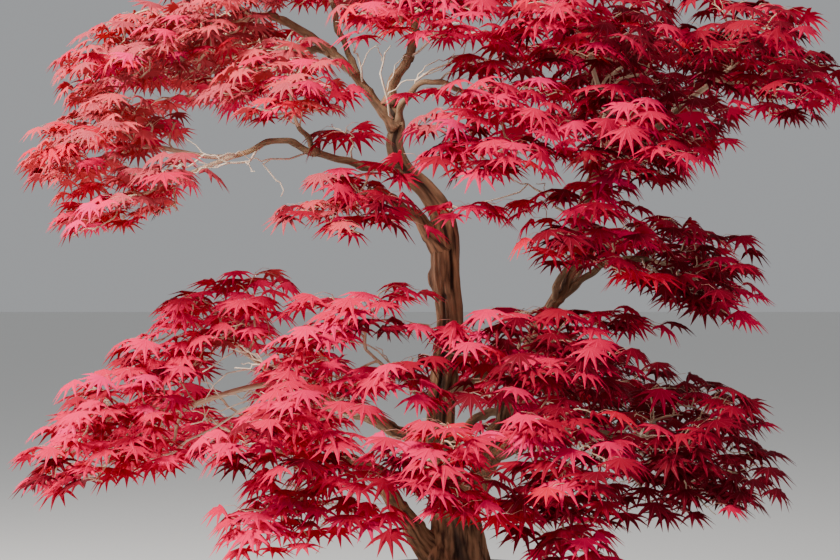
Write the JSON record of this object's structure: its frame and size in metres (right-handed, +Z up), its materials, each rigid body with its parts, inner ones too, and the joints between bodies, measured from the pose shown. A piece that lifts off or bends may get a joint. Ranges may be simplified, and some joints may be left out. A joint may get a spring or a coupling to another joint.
{
  "type": "potted japanese maple",
  "caption": "Red-leaved Japanese maple in a plain round pot: fluted trunk, spreading boughs and tiered, drooping masses of pointed leaves.",
  "frame": {"origin": "centre of the pot's flat underside", "axes": "+Z up along the pot's axis, -Y towards the side that the picture shows, +X to its right"},
  "size_m": [1.8794, 1.2283, 2.0313],
  "materials": {
    "pot": "matt grey stoneware",
    "soil": "crumbly damp compost",
    "bark": "smooth bark with fine ridges",
    "leaves": "thin satin leaves"
  },
  "bodies": {
    "root": {"pot": "pot", "soil": "soil", "trunk": "bark", "low_left_limb": "bark", "right_stem": "bark", "low_right_limb": "bark", "low_front_bough": "bark", "low_left_bough": "bark", "low_back_left_bough": "bark", "low_back_right_bough": "bark", "low_inner_bough": "bark", "low_top_bough": "bark", "fork_bough": "bark", "left_bough": "bark", "upper_left_bough": "bark", "right_near_bough": "bark", "top_bough": "bark", "low_right_bough": "bark", "tier_inner_bough": "bark", "tier_outer_bough": "bark", "tier_back_bough": "bark", "right_far_bough": "bark", "right_back_bough": "bark", "left_inner_bough": "bark", "left_back_bough": "bark", "top_left_bough": "bark", "top_back_bough": "bark", "left_crown": "leaves", "left_tier": "leaves", "left_tuft": "leaves", "left_inner": "leaves", "left_back": "leaves", "centre_left": "leaves", "top_front": "leaves", "top_right": "leaves", "top_left": "leaves", "top_back": "leaves", "right_near": "leaves", "right_high": "leaves", "right_mid": "leaves", "right_far": "leaves", "right_back": "leaves", "tier_inner": "leaves", "tier_outer": "leaves", "tier_back": "leaves", "low_left_top": "leaves", "low_left_outer": "leaves", "low_left_inner": "leaves", "low_left_front": "leaves", "low_left_skirt": "leaves", "low_front": "leaves", "low_right_top": "leaves", "low_right_front": "leaves", "low_right_skirt": "leaves", "low_right_outer": "leaves", "low_back_left": "leaves", "low_back_right": "leaves"}
  },
  "joints": []
}
